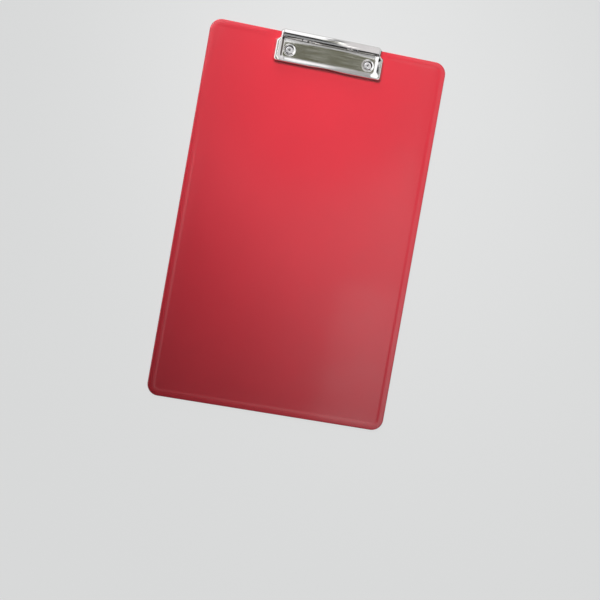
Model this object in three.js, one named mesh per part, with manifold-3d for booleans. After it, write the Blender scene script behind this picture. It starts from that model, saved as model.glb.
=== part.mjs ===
// A clipboard for long paper: a moulded board and a low spring clip held by two hollow rivets.
// Lengths are millimetres. The board lies on its back: +X is right, +Y is up the page towards
// the clip, and +Z comes out of the writing face. The origin is under the middle of the whole
// object, on the surface that it lies on.
// The clip's pieces are drawn in the clip's own frame: its y is 0 at the hinge axis and falls
// towards the paper, and its z is 0 on the writing face.

import * as THREE from "three";
import { mergeVertices } from "three/addons/utils/BufferGeometryUtils.js";
import Module from "manifold-3d";

const wasm = await Module();
wasm.setup();

// Board
const BOARD_WIDTH = 228.6;
const BOARD_LENGTH = 355.6;
const BOARD_CORNER = 11;
const BOARD_EDGE_ROUND = 0.8;
const PLATE_THICKNESS = 2.4;
const BACK_RIM_HEIGHT = 1.3;
const BACK_RIM_WIDTH = 5;
const BEAD_HEIGHT = 0.3;
const BEAD_WIDTH = 6;
const CLIP_SEAT_MARGIN = 2;

// Clip as a whole
const SHEET = 0.8;
const HINGE_SETBACK = 1.4;
const RUNNING_GAP = 0.3;

// Base plate
const BASE_WIDTH = 92;
const BASE_SHORT_OF_LIP = 5.2;
const BASE_CORNER = 5;
const CURL_RADIUS = 3.8;
const CURL_LIP_ANGLE = 48;
const STOP_INSIDE_RIVET = 8;
const STOP_WIDTH = 5;
const STOP_HEIGHT = 1.8;
const STOP_REACH = 7;

// Rivets and their washers
const RIVET_SIDE_MARGIN = 8;
const RIVET_REACH = 15;
const RIVET_HEAD_RADIUS = 3.8;
const RIVET_HEAD_HEIGHT = 1.6;
const RIVET_SHANK_RADIUS = 2;
const RIVET_HOLE_RADIUS = 1.1;
const CLINCH_RADIUS = 3.3;
const CLINCH_HEIGHT = 0.7;
const WASHER_RADIUS = 4.8;
const WASHER_THICKNESS = 0.5;

// Jaw
const JAW_BESIDE_BASE = 6.5;
const JAW_REACH = 27.2;
const JAW_CORNER = 3.4;
const JAW_HEIGHT = 5.8;
const JAW_FOOT_GAP = 0.25;
const EDGE_GAP = 0.5;
const SIDE_DRAFT = 2.3;
const FRONT_DRAFT = 1.3;
const REAR_DRAFT = 0.9;
const SHOULDER_RUN = 3;
const SHOULDER_BESIDE_EAR = 1.1;
const RIM_SIDE_WIDTH = 8.1;
const RIM_FRONT_WIDTH = 4.6;
const PANEL_HEIGHT = 4;
const PANEL_CORNER = 2.6;
const PANEL_SIDE_SLOPE = 2.2;
const PANEL_FRONT_SLOPE = 1.4;
const BEND_RUN = 4.2;
const BEND_DROP = 0.7;
const RELIEF_WIDTH = 36;
const RELIEF_DEPTH = 1.1;
const DISH_RADIUS = 6;
const DISH_DEPTH = 1.5;
const DISH_DRAFT = 0.9;
const EAR_GAP = 0.4;
const EAR_RADIUS = 3.2;
const TONGUE_WIDTH = 6;
const TONGUE_GAP = 0.4;

// Hinge pin
const PIN_RADIUS = 1.25;
const PIN_HEAD_RADIUS = 2;
const PIN_HEAD_LENGTH = 1;
const PIN_HEAD_GAP = 0.1;
const PIN_BORE_GAP = 0.2;

// Torsion springs
const WIRE_RADIUS = 0.45;
const COIL_RADIUS = 2.15;
const COIL_PITCH = 1.5;
const COIL_TURNS = 4;
const COIL_START = 18.5;
const LEG_REST_GAP = 0.1;
const FIXED_LEG_LENGTH = 2.9;
const FIXED_LEG_TANGENT_ANGLE = 72;
const MOVING_LEG_TANGENT_ANGLE = -50;

// How finely the round stretches are drawn
const OVERRUN = 1;
const SAME_POINT = 0.0001;
const FULL_TURN = 360;
const QUARTER_TURN = FULL_TURN / 4;
const CURVE_STEPS = 5;
const ARC_STEPS = 12;
const ROUND_STEPS = 24;
const WIRE_SIDES = 5;
const COIL_STEPS = 8;

// Share of the draft and of the height at each level of the jaw's walls, from foot to rim
const WALL_DRAFT_SHARES = [0, 0.3, 0.45, 0.7, 1];
const WALL_HEIGHT_SHARES = [0, 0.62, 0.84, 0.96, 1];
const RELIEF_EASE_SHARE = 0.5;
// Share of the edge rounding taken in, and of its height, at each level of the board's edge
const EDGE_INSET_SHARES = [1, 0.3, 0];
const EDGE_HEIGHT_SHARES = [0, 0.3, 1];
// Share of the radius and of the height along a rounded rivet or pin head, from rim to crown
const HEAD_RADIUS_SHARES = [1, 0.97, 0.8, 0.56];
const HEAD_HEIGHT_SHARES = [0.2, 0.55, 0.88, 1];

// Worked out from the sizes above
const FACE_HEIGHT = BACK_RIM_HEIGHT + PLATE_THICKNESS;
const BOARD_HEIGHT = FACE_HEIGHT + BEAD_HEIGHT;
const CLIP_OVERHANG = CURL_RADIUS - HINGE_SETBACK;
const BOARD_MIDDLE = -CLIP_OVERHANG / 2;
const HINGE_PLACE = BOARD_MIDDLE + BOARD_LENGTH / 2 - HINGE_SETBACK;
const AXIS_HEIGHT = CURL_RADIUS;
const CURL_BORE = CURL_RADIUS - SHEET;
const JAW_REAR = CURL_RADIUS + EDGE_GAP;
const JAW_WIDTH = BASE_WIDTH + 2 * JAW_BESIDE_BASE;
const BASE_REACH = JAW_REACH - BASE_SHORT_OF_LIP;
const RIVET_SPACING = BASE_WIDTH - 2 * RIVET_SIDE_MARGIN;
const STOP_SPACING = RIVET_SPACING - 2 * STOP_INSIDE_RIVET;
const EAR_INNER = BASE_WIDTH / 2 + EAR_GAP;
const EAR_OUTER = EAR_INNER + SHEET;
const SHOULDER_WIDTH = 2 * (EAR_OUTER + SHOULDER_BESIDE_EAR);
const PANEL_WIDTH = JAW_WIDTH - 2 * RIM_SIDE_WIDTH;
const PANEL_REACH = JAW_REACH - RIM_FRONT_WIDTH;
const SHANK_HOLE_RADIUS = RIVET_SHANK_RADIUS + RUNNING_GAP;
const DISH_HOLE_RADIUS = RIVET_HEAD_RADIUS + EDGE_GAP;
const PIN_BORE_RADIUS = PIN_RADIUS + PIN_BORE_GAP;
const PANEL_EDGE_HEIGHT = PANEL_HEIGHT - BEND_DROP;
const SIDES = [-1, 1];

const red = { color: 0xc9303c, roughness: 0.22, metalness: 0 };
const chrome = { color: 0xc9c8c4, roughness: 0.12, metalness: 1 };
const steel = { color: 0x9fa1a3, roughness: 0.35, metalness: 1 };

// Shapes and solids

function radians(degrees) {
  return THREE.MathUtils.degToRad(degrees);
}

function toSolid(geometry) {
  const bare = geometry.clone();
  bare.deleteAttribute("normal");
  bare.deleteAttribute("uv");
  const welded = mergeVertices(bare);
  const corners = welded.index.array;
  const kept = [];
  for (let i = 0; i < corners.length; i += 3) {
    const [a, b, c] = corners.subarray(i, i + 3);
    if (a !== b && b !== c && c !== a) kept.push(a, b, c);
  }
  return new wasm.Manifold(new wasm.Mesh({
    numProp: 3,
    vertProperties: welded.attributes.position.array,
    triVerts: new Uint32Array(kept),
  }));
}

function toGeometry(solid) {
  const mesh = solid.getMesh();
  const geometry = new THREE.BufferGeometry();
  geometry.setAttribute("position", new THREE.BufferAttribute(mesh.vertProperties, 3));
  geometry.setIndex(new THREE.BufferAttribute(mesh.triVerts, 1));
  return geometry;
}

// A solid with straight walls over a plan outline, from one height to another
function upright(shape, low, high) {
  const depth = high - low;
  const geometry = new THREE.ExtrudeGeometry(shape, {
    depth,
    bevelEnabled: false,
    curveSegments: CURVE_STEPS,
  });
  return toSolid(geometry.translate(0, 0, low));
}

// A solid whose section is drawn in y and z, running across the clip from one x to another
function crosswise(section, from, to) {
  const depth = to - from;
  const geometry = new THREE.ExtrudeGeometry(section, {
    depth,
    bevelEnabled: false,
    curveSegments: ARC_STEPS,
  });
  const turn = new THREE.Matrix4().makeBasis(
    new THREE.Vector3(0, 1, 0),
    new THREE.Vector3(0, 0, 1),
    new THREE.Vector3(1, 0, 0),
  );
  return toSolid(geometry.applyMatrix4(turn).translate(from, 0, 0));
}

// A solid turned about the z axis from [radius, height] points
function turned(points) {
  const profile = points.map(([radius, height]) => new THREE.Vector2(radius, height));
  return toSolid(new THREE.LatheGeometry(profile, ROUND_STEPS).rotateX(Math.PI / 2));
}

// The same, about the x axis
function turnedCrosswise(points) {
  const profile = points.map(([radius, place]) => new THREE.Vector2(radius, place));
  return toSolid(new THREE.LatheGeometry(profile, ROUND_STEPS).rotateZ(-Math.PI / 2));
}

function rod(radius, low, high) {
  return turned([[0, low], [radius, low], [radius, high], [0, high]]);
}

// A solid through plan outlines that have the same number of points, each at its own height
function loft(levels) {
  const rings = levels.map(({ outline }) => ringOf(outline));
  const count = rings[0].length;
  const positions = [];
  levels.forEach(({ height }, level) => {
    for (const point of rings[level]) positions.push(point.x, point.y, height);
  });
  const corners = [];
  for (let level = 0; level + 1 < rings.length; level += 1) {
    for (let i = 0; i < count; i += 1) {
      const next = (i + 1) % count;
      const low = level * count;
      const high = low + count;
      corners.push(low + i, low + next, high + next, low + i, high + next, high + i);
    }
  }
  const last = (rings.length - 1) * count;
  for (const [a, b, c] of THREE.ShapeUtils.triangulateShape(rings[0], [])) {
    corners.push(c, b, a);
  }
  for (const [a, b, c] of THREE.ShapeUtils.triangulateShape(rings.at(-1), [])) {
    corners.push(last + a, last + b, last + c);
  }
  const geometry = new THREE.BufferGeometry();
  geometry.setAttribute("position", new THREE.Float32BufferAttribute(positions, 3));
  geometry.setIndex(corners);
  return toSolid(geometry);
}

// An outline's points without the doubled ones where its lines and arcs meet
function ringOf(outline) {
  const points = outline.getPoints(CURVE_STEPS);
  return points.filter((point, i) => point.distanceTo(points.at(i - 1)) > SAME_POINT);
}

function roundedRectangle(width, length, corner) {
  const x = width / 2 - corner;
  const y = length / 2 - corner;
  const shape = new THREE.Shape();
  shape.absarc(x, -y, corner, -Math.PI / 2, 0, false);
  shape.absarc(x, y, corner, 0, Math.PI / 2, false);
  shape.absarc(-x, y, corner, Math.PI / 2, Math.PI, false);
  shape.absarc(-x, -y, corner, Math.PI, 1.5 * Math.PI, false);
  return shape;
}

function polygon(points) {
  return new THREE.Shape(points.map(([x, y]) => new THREE.Vector2(x, y)));
}

function box(width, length, height) {
  return toSolid(new THREE.BoxGeometry(width, length, height));
}

// Board

function boardOutline(inset) {
  return roundedRectangle(BOARD_WIDTH - 2 * inset, BOARD_LENGTH - 2 * inset, BOARD_CORNER - inset);
}

function boardLevels() {
  const levels = EDGE_INSET_SHARES.map((share, i) => ({
    outline: boardOutline(share * BOARD_EDGE_ROUND),
    height: EDGE_HEIGHT_SHARES[i] * BOARD_EDGE_ROUND,
  }));
  const mirrored = levels.map(({ outline, height }) => ({ outline, height: BOARD_HEIGHT - height }));
  return [...levels, ...mirrored.reverse()];
}

function clipSeat() {
  const width = JAW_WIDTH + 2 * CLIP_SEAT_MARGIN;
  const length = BEAD_WIDTH + 2 * OVERRUN;
  const middle = BOARD_LENGTH / 2 - BEAD_WIDTH / 2;
  return box(width, length, 2 * OVERRUN).translate([0, middle, FACE_HEIGHT + OVERRUN]);
}

function board() {
  const field = upright(boardOutline(BEAD_WIDTH), FACE_HEIGHT, BOARD_HEIGHT + OVERRUN);
  const hollow = upright(boardOutline(BACK_RIM_WIDTH), -OVERRUN, BACK_RIM_HEIGHT);
  const rivetPlace = BOARD_LENGTH / 2 - HINGE_SETBACK - RIVET_REACH;
  let solid = loft(boardLevels()).subtract(field).subtract(hollow).subtract(clipSeat());
  for (const side of SIDES) {
    const hole = rod(SHANK_HOLE_RADIUS, -OVERRUN, BOARD_HEIGHT + OVERRUN);
    solid = solid.subtract(hole.translate([side * RIVET_SPACING / 2, rivetPlace, 0]));
  }
  return solid;
}

// Base plate: a flat sheet whose back edge is curled forward round the hinge pin

function basePlateSection() {
  const lip = Math.PI - radians(CURL_LIP_ANGLE);
  const section = new THREE.Shape();
  section.moveTo(-BASE_REACH, 0);
  section.lineTo(0, 0);
  section.absarc(0, AXIS_HEIGHT, CURL_RADIUS, -Math.PI / 2, lip, false);
  section.absarc(0, AXIS_HEIGHT, CURL_BORE, lip, -Math.PI / 2, true);
  section.lineTo(-BASE_REACH, SHEET);
  return section;
}

function basePlatePlan() {
  const rear = CURL_RADIUS + BASE_CORNER + OVERRUN;
  const length = BASE_REACH + rear;
  const outline = roundedRectangle(BASE_WIDTH, length, BASE_CORNER);
  const plan = upright(outline, -OVERRUN, 2 * CURL_RADIUS + OVERRUN);
  return plan.translate([0, rear - length / 2, 0]);
}

// The folded end that carries the hinge pin inside the curl
function bearing(side) {
  const inner = BASE_WIDTH / 2 - SHEET;
  const radius = CURL_RADIUS - SHEET / 2;
  const outer = BASE_WIDTH / 2;
  const disc = turnedCrosswise([[0, inner], [radius, inner], [radius, outer], [0, outer]]);
  const placed = disc.translate([0, 0, AXIS_HEIGHT]);
  return side > 0 ? placed : placed.mirror([1, 0, 0]);
}

function paperStop(side) {
  const stop = box(STOP_WIDTH, SHEET, STOP_HEIGHT + SHEET);
  const height = (STOP_HEIGHT + SHEET) / 2;
  return stop.translate([side * STOP_SPACING / 2, -(STOP_REACH + SHEET / 2), height]);
}

function pinBore(radius) {
  const end = JAW_WIDTH / 2 + OVERRUN;
  const bore = turnedCrosswise([[0, -end], [radius, -end], [radius, end], [0, end]]);
  return bore.translate([0, 0, AXIS_HEIGHT]);
}

function basePlate() {
  const sheet = crosswise(basePlateSection(), -BASE_WIDTH / 2, BASE_WIDTH / 2);
  let solid = sheet.intersect(basePlatePlan());
  for (const side of SIDES) {
    const hole = rod(SHANK_HOLE_RADIUS, -OVERRUN, SHEET + OVERRUN);
    solid = solid.add(bearing(side)).add(paperStop(side));
    solid = solid.subtract(hole.translate([side * RIVET_SPACING / 2, -RIVET_REACH, 0]));
  }
  return solid.subtract(pinBore(PIN_BORE_RADIUS));
}

// Jaw: a drawn pan with a raised rim round a sunk panel, hinged at its two ears

function panOutline(side, front, rear, relief) {
  const half = JAW_WIDTH / 2 - side;
  const shoulder = SHOULDER_WIDTH / 2 - side;
  const corner = JAW_CORNER - Math.min(side, front);
  const frontEdge = front - JAW_REACH;
  const rearEdge = -JAW_REAR - rear;
  const flank = rearEdge - SHOULDER_RUN;
  const dip = frontEdge + relief;
  const start = RELIEF_WIDTH / 2;
  const ease = start * RELIEF_EASE_SHARE;
  const shape = new THREE.Shape();
  shape.moveTo(-shoulder, rearEdge);
  shape.quadraticCurveTo(-half, rearEdge, -half, flank);
  shape.absarc(-half + corner, frontEdge + corner, corner, Math.PI, 1.5 * Math.PI, false);
  shape.lineTo(-start, frontEdge);
  shape.bezierCurveTo(-ease, frontEdge, -ease, dip, 0, dip);
  shape.bezierCurveTo(ease, dip, ease, frontEdge, start, frontEdge);
  shape.absarc(half - corner, frontEdge + corner, corner, -Math.PI / 2, 0, false);
  shape.lineTo(half, flank);
  shape.quadraticCurveTo(half, rearEdge, shoulder, rearEdge);
  return shape;
}

// The pan's outside, or with a wall thickness the space inside it
function pan(wall) {
  const top = JAW_HEIGHT - wall;
  const foot = JAW_FOOT_GAP - wall;
  return loft(WALL_DRAFT_SHARES.map((share, i) => ({
    outline: panOutline(
      share * SIDE_DRAFT + wall,
      share * FRONT_DRAFT + wall,
      share * REAR_DRAFT + wall,
      (1 - share) * RELIEF_DEPTH,
    ),
    height: foot + WALL_HEIGHT_SHARES[i] * (top - foot),
  })));
}

function panelOutline(side, front) {
  const half = PANEL_WIDTH / 2 + side;
  const reach = PANEL_REACH + front;
  const rear = -JAW_REAR + OVERRUN;
  const corner = PANEL_CORNER + Math.min(side, front);
  const shape = new THREE.Shape();
  shape.moveTo(-half, rear);
  shape.lineTo(-half, corner - reach);
  shape.absarc(corner - half, corner - reach, corner, Math.PI, 1.5 * Math.PI, false);
  shape.absarc(half - corner, corner - reach, corner, -Math.PI / 2, 0, false);
  shape.lineTo(half, rear);
  return shape;
}

// The space over the sunk panel, or with a wall thickness that space and the sheet under it
function panelSink(wall) {
  const foot = PANEL_HEIGHT - wall;
  const slopeTop = JAW_HEIGHT - wall;
  const rim = panelOutline(PANEL_SIDE_SLOPE + wall, PANEL_FRONT_SLOPE + wall);
  return loft([
    { outline: panelOutline(wall, wall), height: foot },
    { outline: rim, height: slopeTop },
    { outline: rim, height: JAW_HEIGHT + OVERRUN },
  ]);
}

// The panel's back edge bends down towards the curl
function panelBend() {
  const from = -(JAW_REAR + BEND_RUN);
  const section = polygon([
    [from, PANEL_HEIGHT - SHEET],
    [-JAW_REAR, PANEL_EDGE_HEIGHT - SHEET],
    [-JAW_REAR, PANEL_EDGE_HEIGHT],
    [from, PANEL_HEIGHT],
  ]);
  return crosswise(section, -PANEL_WIDTH / 2, PANEL_WIDTH / 2);
}

function spaceOverBend() {
  const from = -(JAW_REAR + BEND_RUN);
  const section = polygon([
    [from, PANEL_HEIGHT],
    [-JAW_REAR, PANEL_EDGE_HEIGHT],
    [OVERRUN - JAW_REAR, PANEL_EDGE_HEIGHT],
    [OVERRUN - JAW_REAR, JAW_HEIGHT],
    [from, JAW_HEIGHT],
  ]);
  return crosswise(section, -PANEL_WIDTH / 2, PANEL_WIDTH / 2);
}

function rearOpening() {
  const low = -OVERRUN;
  const high = PANEL_HEIGHT - SHEET;
  const length = SHEET + REAR_DRAFT + 2 * OVERRUN;
  const opening = box(2 * EAR_INNER, length, high - low);
  return opening.translate([0, -JAW_REAR + OVERRUN - length / 2, (low + high) / 2]);
}

function dish() {
  const top = PANEL_HEIGHT;
  const floor = PANEL_HEIGHT - DISH_DEPTH;
  const foot = DISH_RADIUS - DISH_DRAFT;
  const wall = turned([
    [0, floor - SHEET],
    [foot + SHEET, floor - SHEET],
    [DISH_RADIUS + SHEET, top - SHEET],
    [DISH_RADIUS + SHEET, top],
    [0, top],
  ]);
  const hollow = turned([
    [0, floor],
    [foot, floor],
    [DISH_RADIUS, top],
    [DISH_RADIUS, JAW_HEIGHT],
    [0, JAW_HEIGHT],
  ]);
  const hole = rod(DISH_HOLE_RADIUS, -OVERRUN, JAW_HEIGHT);
  return { wall, space: hollow.add(hole) };
}

// Seen along x: a round lug at the pin with a neck that runs down into the shoulder
function ear(side) {
  const neckEnd = -(JAW_REAR + SHEET);
  const neck = polygon([
    [0, AXIS_HEIGHT + EAR_RADIUS],
    [neckEnd, PANEL_HEIGHT + SHEET],
    [neckEnd, SHEET],
    [0, AXIS_HEIGHT - EAR_RADIUS],
  ]);
  const lug = turnedCrosswise([
    [0, EAR_INNER],
    [EAR_RADIUS, EAR_INNER],
    [EAR_RADIUS, EAR_OUTER],
    [0, EAR_OUTER],
  ]);
  const whole = crosswise(neck, EAR_INNER, EAR_OUTER).add(lug.translate([0, 0, AXIS_HEIGHT]));
  return side > 0 ? whole : whole.mirror([1, 0, 0]);
}

// The tab in the curl's mouth that a spring's moving leg presses down
function tongue(side) {
  const rear = -(COIL_RADIUS + WIRE_RADIUS + TONGUE_GAP);
  const section = polygon([
    [-JAW_REAR - SHEET, PANEL_EDGE_HEIGHT - SHEET],
    [rear, PANEL_EDGE_HEIGHT - SHEET],
    [rear, PANEL_EDGE_HEIGHT],
    [-JAW_REAR - SHEET, PANEL_EDGE_HEIGHT],
  ]);
  const middle = side * COIL_START;
  return crosswise(section, middle - TONGUE_WIDTH / 2, middle + TONGUE_WIDTH / 2);
}

function jaw() {
  const space = pan(SHEET).subtract(panelSink(SHEET)).add(rearOpening());
  let solid = pan(0).subtract(space).subtract(panelSink(0));
  solid = solid.subtract(spaceOverBend()).add(panelBend());
  for (const side of SIDES) {
    const place = [side * RIVET_SPACING / 2, -RIVET_REACH, 0];
    const { wall, space: dishSpace } = dish();
    solid = solid.add(wall.translate(place)).subtract(dishSpace.translate(place));
    solid = solid.add(ear(side)).add(tongue(side));
  }
  return solid.subtract(pinBore(PIN_BORE_RADIUS));
}

// Hinge pin: headed at both ends outside the ears

function hingePin() {
  const shoulder = EAR_OUTER + PIN_HEAD_GAP;
  const head = HEAD_RADIUS_SHARES.map((share, i) => [
    share * PIN_HEAD_RADIUS,
    shoulder + HEAD_HEIGHT_SHARES[i] * PIN_HEAD_LENGTH,
  ]);
  const half = [
    [PIN_RADIUS, shoulder],
    [PIN_HEAD_RADIUS, shoulder],
    ...head,
    [0, shoulder + PIN_HEAD_LENGTH],
  ];
  const otherHalf = half.map(([radius, place]) => [radius, -place]).reverse();
  return turnedCrosswise([...otherHalf, ...half]).translate([0, 0, AXIS_HEIGHT]);
}

// Hollow rivet: a domed head on the base plate, rolled over the washer at the board's back

function rivet() {
  const seat = FACE_HEIGHT + SHEET;
  const clinchTop = BACK_RIM_HEIGHT - WASHER_THICKNESS;
  const clinchFoot = clinchTop - CLINCH_HEIGHT;
  const dome = HEAD_RADIUS_SHARES.map((share, i) => [
    share * RIVET_HEAD_RADIUS,
    seat + HEAD_HEIGHT_SHARES[i] * RIVET_HEAD_HEIGHT,
  ]);
  return turned([
    [RIVET_HOLE_RADIUS, clinchFoot],
    [CLINCH_RADIUS, clinchFoot],
    [CLINCH_RADIUS, clinchTop],
    [RIVET_SHANK_RADIUS, clinchTop],
    [RIVET_SHANK_RADIUS, seat],
    [RIVET_HEAD_RADIUS, seat],
    ...dome,
    [RIVET_HOLE_RADIUS, seat + RIVET_HEAD_HEIGHT],
    [RIVET_HOLE_RADIUS, clinchFoot],
  ]);
}

function washer() {
  const low = BACK_RIM_HEIGHT - WASHER_THICKNESS;
  return turned([
    [SHANK_HOLE_RADIUS, low],
    [WASHER_RADIUS, low],
    [WASHER_RADIUS, BACK_RIM_HEIGHT],
    [SHANK_HOLE_RADIUS, BACK_RIM_HEIGHT],
    [SHANK_HOLE_RADIUS, low],
  ]);
}

// Torsion spring round the pin. Its outer leg bears on the curl's lip and its inner leg on the
// jaw's tongue, so lifting the jaw winds it up.

// A point round the hinge axis. The angle is 0 towards the paper and rises towards +z.
function roundAxis(x, radius, degrees) {
  const angle = radians(degrees);
  return new THREE.Vector3(x, -radius * Math.cos(angle), AXIS_HEIGHT + radius * Math.sin(angle));
}

function springTurn() {
  const whole = FULL_TURN * (COIL_TURNS + 1);
  return whole + MOVING_LEG_TANGENT_ANGLE - FIXED_LEG_TANGENT_ANGLE;
}

function coilPoints(side) {
  const turn = springTurn();
  const steps = Math.round(turn / FULL_TURN * COIL_STEPS);
  const outer = COIL_START + turn / FULL_TURN * COIL_PITCH;
  const points = [];
  for (let i = 0; i <= steps; i += 1) {
    const share = i / steps;
    const x = outer + share * (COIL_START - outer);
    points.push(roundAxis(side * x, COIL_RADIUS, FIXED_LEG_TANGENT_ANGLE + share * turn));
  }
  return points;
}

function springPoints(side) {
  const coil = coilPoints(side);
  const first = coil[0];
  const heading = radians(FIXED_LEG_TANGENT_ANGLE - QUARTER_TURN);
  const fixedEnd = new THREE.Vector3(
    first.x,
    first.y - FIXED_LEG_LENGTH * Math.cos(heading),
    first.z + FIXED_LEG_LENGTH * Math.sin(heading),
  );
  const legHeight = PANEL_EDGE_HEIGHT + WIRE_RADIUS + LEG_REST_GAP;
  const x = coil.at(-1).x;
  const bend = new THREE.Vector3(x, -(COIL_RADIUS + WIRE_RADIUS), legHeight - LEG_REST_GAP / 2);
  const movingEnd = new THREE.Vector3(x, -JAW_REAR, legHeight);
  return [fixedEnd, ...coil, bend, movingEnd];
}

function leastCoilGap(points) {
  let least = Infinity;
  for (let i = 0; i < points.length; i += 1) {
    for (let k = i + COIL_STEPS / 2; k < points.length; k += 1) {
      least = Math.min(least, points[i].distanceTo(points[k]));
    }
  }
  return least - 2 * WIRE_RADIUS;
}

function torsionSpring(side) {
  const points = springPoints(side);
  const path = new THREE.CatmullRomCurve3(points, false, "centripetal");
  const corners = Array.from({ length: WIRE_SIDES }, (_, i) => {
    const angle = 2 * Math.PI * i / WIRE_SIDES;
    return [WIRE_RADIUS * Math.cos(angle), WIRE_RADIUS * Math.sin(angle)];
  });
  const step = 2 * Math.PI * COIL_RADIUS / COIL_STEPS;
  const steps = Math.round(path.getLength() / step);
  const finePoints = path.getSpacedPoints(steps);
  console.log(`least gap between turns: ${leastCoilGap(finePoints).toFixed(2)} mm`);
  return toSolid(new THREE.ExtrudeGeometry(polygon(corners), { steps, extrudePath: path }));
}

// Assembly

function piece(name, solid, finish) {
  const mesh = new THREE.Mesh(toGeometry(solid), new THREE.MeshStandardMaterial(finish));
  mesh.name = name;
  return mesh;
}

const clipboard = new THREE.Group();
const clip = new THREE.Group();
clip.position.set(0, HINGE_PLACE, FACE_HEIGHT);
clipboard.add(clip);

const boardMesh = piece("board", board(), red);
boardMesh.position.y = BOARD_MIDDLE;
clipboard.add(boardMesh);

clip.add(piece("base_plate", basePlate(), chrome));
clip.add(piece("jaw", jaw(), chrome));
clip.add(piece("hinge_pin", hingePin(), steel));

for (const side of SIDES) {
  const hand = side < 0 ? "left" : "right";
  const rivetMesh = piece(`rivet_${hand}`, rivet(), chrome);
  const washerMesh = piece(`rivet_washer_${hand}`, washer(), steel);
  for (const mesh of [rivetMesh, washerMesh]) {
    mesh.position.set(side * RIVET_SPACING / 2, HINGE_PLACE - RIVET_REACH, 0);
    clipboard.add(mesh);
  }
  clip.add(piece(`torsion_spring_${hand}`, torsionSpring(side), steel));
}

export default clipboard;
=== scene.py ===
"""A clipboard for long paper, lying on a pale floor and lit as in the photograph.

The pieces are drawn in millimetres and become metres when their meshes are made. The clip's
pieces are drawn in the clip's own frame, as in the part's source: y is 0 at the hinge axis and
falls towards the paper, and z is 0 on the writing face.
"""

import math

import bmesh
import bpy
from mathutils import Matrix, Vector, geometry


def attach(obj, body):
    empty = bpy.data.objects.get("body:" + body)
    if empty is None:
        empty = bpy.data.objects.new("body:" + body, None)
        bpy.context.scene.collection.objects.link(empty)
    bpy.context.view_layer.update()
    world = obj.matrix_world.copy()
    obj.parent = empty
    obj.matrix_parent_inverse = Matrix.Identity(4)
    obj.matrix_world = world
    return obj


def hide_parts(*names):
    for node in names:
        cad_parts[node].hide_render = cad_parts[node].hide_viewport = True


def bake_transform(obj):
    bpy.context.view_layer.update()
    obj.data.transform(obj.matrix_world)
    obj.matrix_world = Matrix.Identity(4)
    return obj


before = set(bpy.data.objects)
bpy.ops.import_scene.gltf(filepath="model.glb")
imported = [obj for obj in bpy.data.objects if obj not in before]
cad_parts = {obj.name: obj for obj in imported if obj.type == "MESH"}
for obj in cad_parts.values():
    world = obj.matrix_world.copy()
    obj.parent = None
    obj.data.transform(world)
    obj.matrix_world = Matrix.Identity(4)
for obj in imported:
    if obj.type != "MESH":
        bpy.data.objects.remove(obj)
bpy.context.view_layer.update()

MM = 0.001
SIDES = {"left": -1, "right": 1}

# Board
BOARD_WIDTH = 228.6
BOARD_LENGTH = 355.6
BOARD_CORNER = 11
BOARD_EDGE_ROUND = 0.8
PLATE_THICKNESS = 2.4
BACK_RIM_HEIGHT = 1.3
BACK_RIM_WIDTH = 5
BACK_FILLET = 0.5
BEAD_HEIGHT = 0.14
BEAD_WIDTH = 6
BEAD_SLOPE = 3.6
CLIP_SEAT_MARGIN = 2
BEAD_FADE = 4

# Clip as a whole
SHEET = 0.8
HINGE_SETBACK = 1.4
RUNNING_GAP = 0.3
SHEET_EDGE_ROUND = 0.12

# Base plate
BASE_WIDTH = 92
BASE_REACH = 22
BASE_CORNER = 5
CURL_RADIUS = 3.8
CURL_LIP_ANGLE = 48
CURL_SQUARENESS = 2.5
STOP_SPACING = 60
STOP_WIDTH = 5
STOP_HEIGHT = 1.8
STOP_REACH = 7

# Rivets and their washers
RIVET_SPACING = 76
RIVET_REACH = 15
RIVET_HEAD_RADIUS = 3.8
RIVET_HEAD_HEIGHT = 1.6
RIVET_SHANK_RADIUS = 2
RIVET_HOLE_RADIUS = 1.1
RIVET_LIP_ROUND = 0.25
RIVET_WEB = 0.4
CLINCH_RADIUS = 3.3
CLINCH_HEIGHT = 0.7
WASHER_RADIUS = 4.8
WASHER_THICKNESS = 0.5
WASHER_EDGE_ROUND = 0.1

# Jaw
JAW_WIDTH = 105
JAW_REACH = 27.2
JAW_CORNER = 3.4
JAW_HEIGHT = 5.8
JAW_FOOT_GAP = 0.25
EDGE_GAP = 0.5
SIDE_DRAFT = 2.3
FRONT_DRAFT = 1.3
REAR_DRAFT = 0.9
SHOULDER_REAR = 2.8
SHOULDER_RUN = 5
SHOULDER_FOOT = 1
PANEL_WIDTH = 88.8
PANEL_REACH = 22.6
PANEL_HEIGHT = 4
PANEL_CORNER = 2.6
PANEL_SIDE_SLOPE = 1.6
PANEL_FRONT_SLOPE = 1.4
SLOPE_EASE_TOP = 0.9
SIDE_EASE_FOOT = 0.3
FRONT_EASE_FOOT = 0.65
PANEL_EDGE_HEIGHT = 3.3
BEND_RUN_MIDDLE = 1.8
BEND_RUN_END = 4.6
RELIEF_WIDTH = 36
RELIEF_DEPTH = 1.1
DISH_RADIUS = 5.75
DISH_DEPTH = 0.95
DISH_DRAFT = 1.3
DISH_COLLAR = 0.3
EAR_GAP = 0.4
EAR_RADIUS = 3.2
EAR_RIM = 0.3
EAR_DEPTH = 1.6
EAR_DRAFT = 0.8
TONGUE_WIDTH = 6
TONGUE_GAP = 0.4

# Hinge pin
PIN_RADIUS = 1.25
PIN_HEAD_RADIUS = 2
PIN_HEAD_LENGTH = 1
PIN_HEAD_GAP = 0.1
PIN_BORE_GAP = 0.2

# Torsion springs
WIRE_RADIUS = 0.45
COIL_RADIUS = 2.15
COIL_PITCH = 1.5
COIL_TURNS = 4
COIL_START = 18.5
LEG_REST_GAP = 0.1
FIXED_LEG_LENGTH = 2.9
FIXED_LEG_TANGENT_ANGLE = 72
MOVING_LEG_TANGENT_ANGLE = -50

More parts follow.
